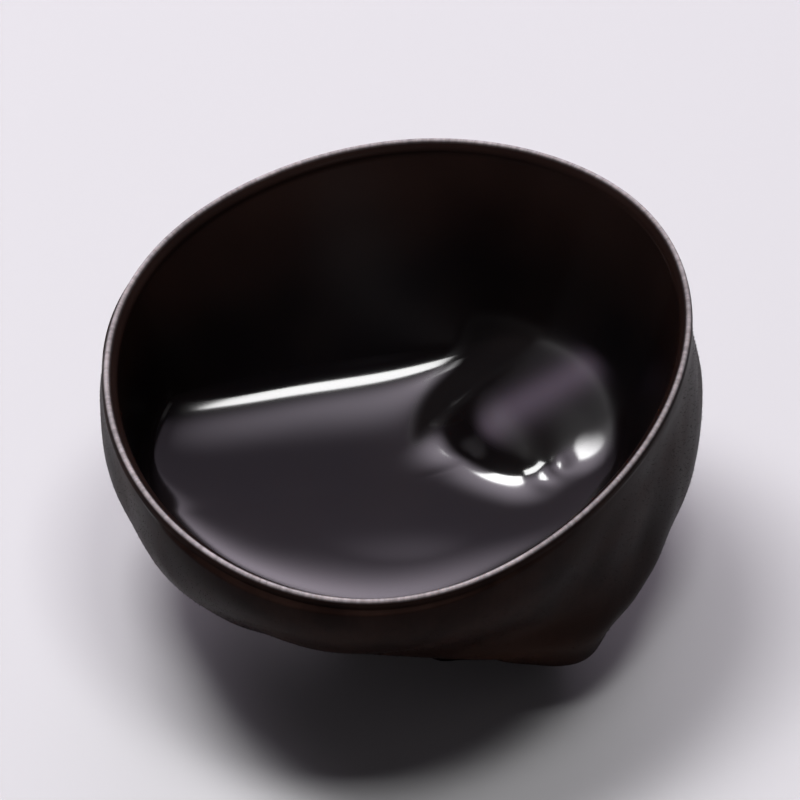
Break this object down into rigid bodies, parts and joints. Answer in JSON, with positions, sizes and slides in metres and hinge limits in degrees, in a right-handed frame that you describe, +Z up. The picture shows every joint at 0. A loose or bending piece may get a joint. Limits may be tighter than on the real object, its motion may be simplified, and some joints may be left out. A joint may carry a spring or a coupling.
{
  "type": "wood ear mushroom",
  "caption": "Deep round cup of thin gelatinous fungus flesh with a narrow rounded lip, a wet floor with a blunt boss, and a short pleated foot cut off flat.",
  "frame": {"origin": "centre of the flat cut under the foot, on the plane the ear rests on", "axes": "+Z up out of the cut, towards the open cup; -Y towards the low front of the rim; +X towards the high right side of the rim, where the boss is"},
  "size_m": [0.0461, 0.0454, 0.0278],
  "materials": {
    "ear_flesh": "wet, glossy, brown-black gelatinous flesh, a little duller and downy outside"
  },
  "bodies": {
    "root": {"wood_ear": "ear_flesh"}
  },
  "joints": []
}
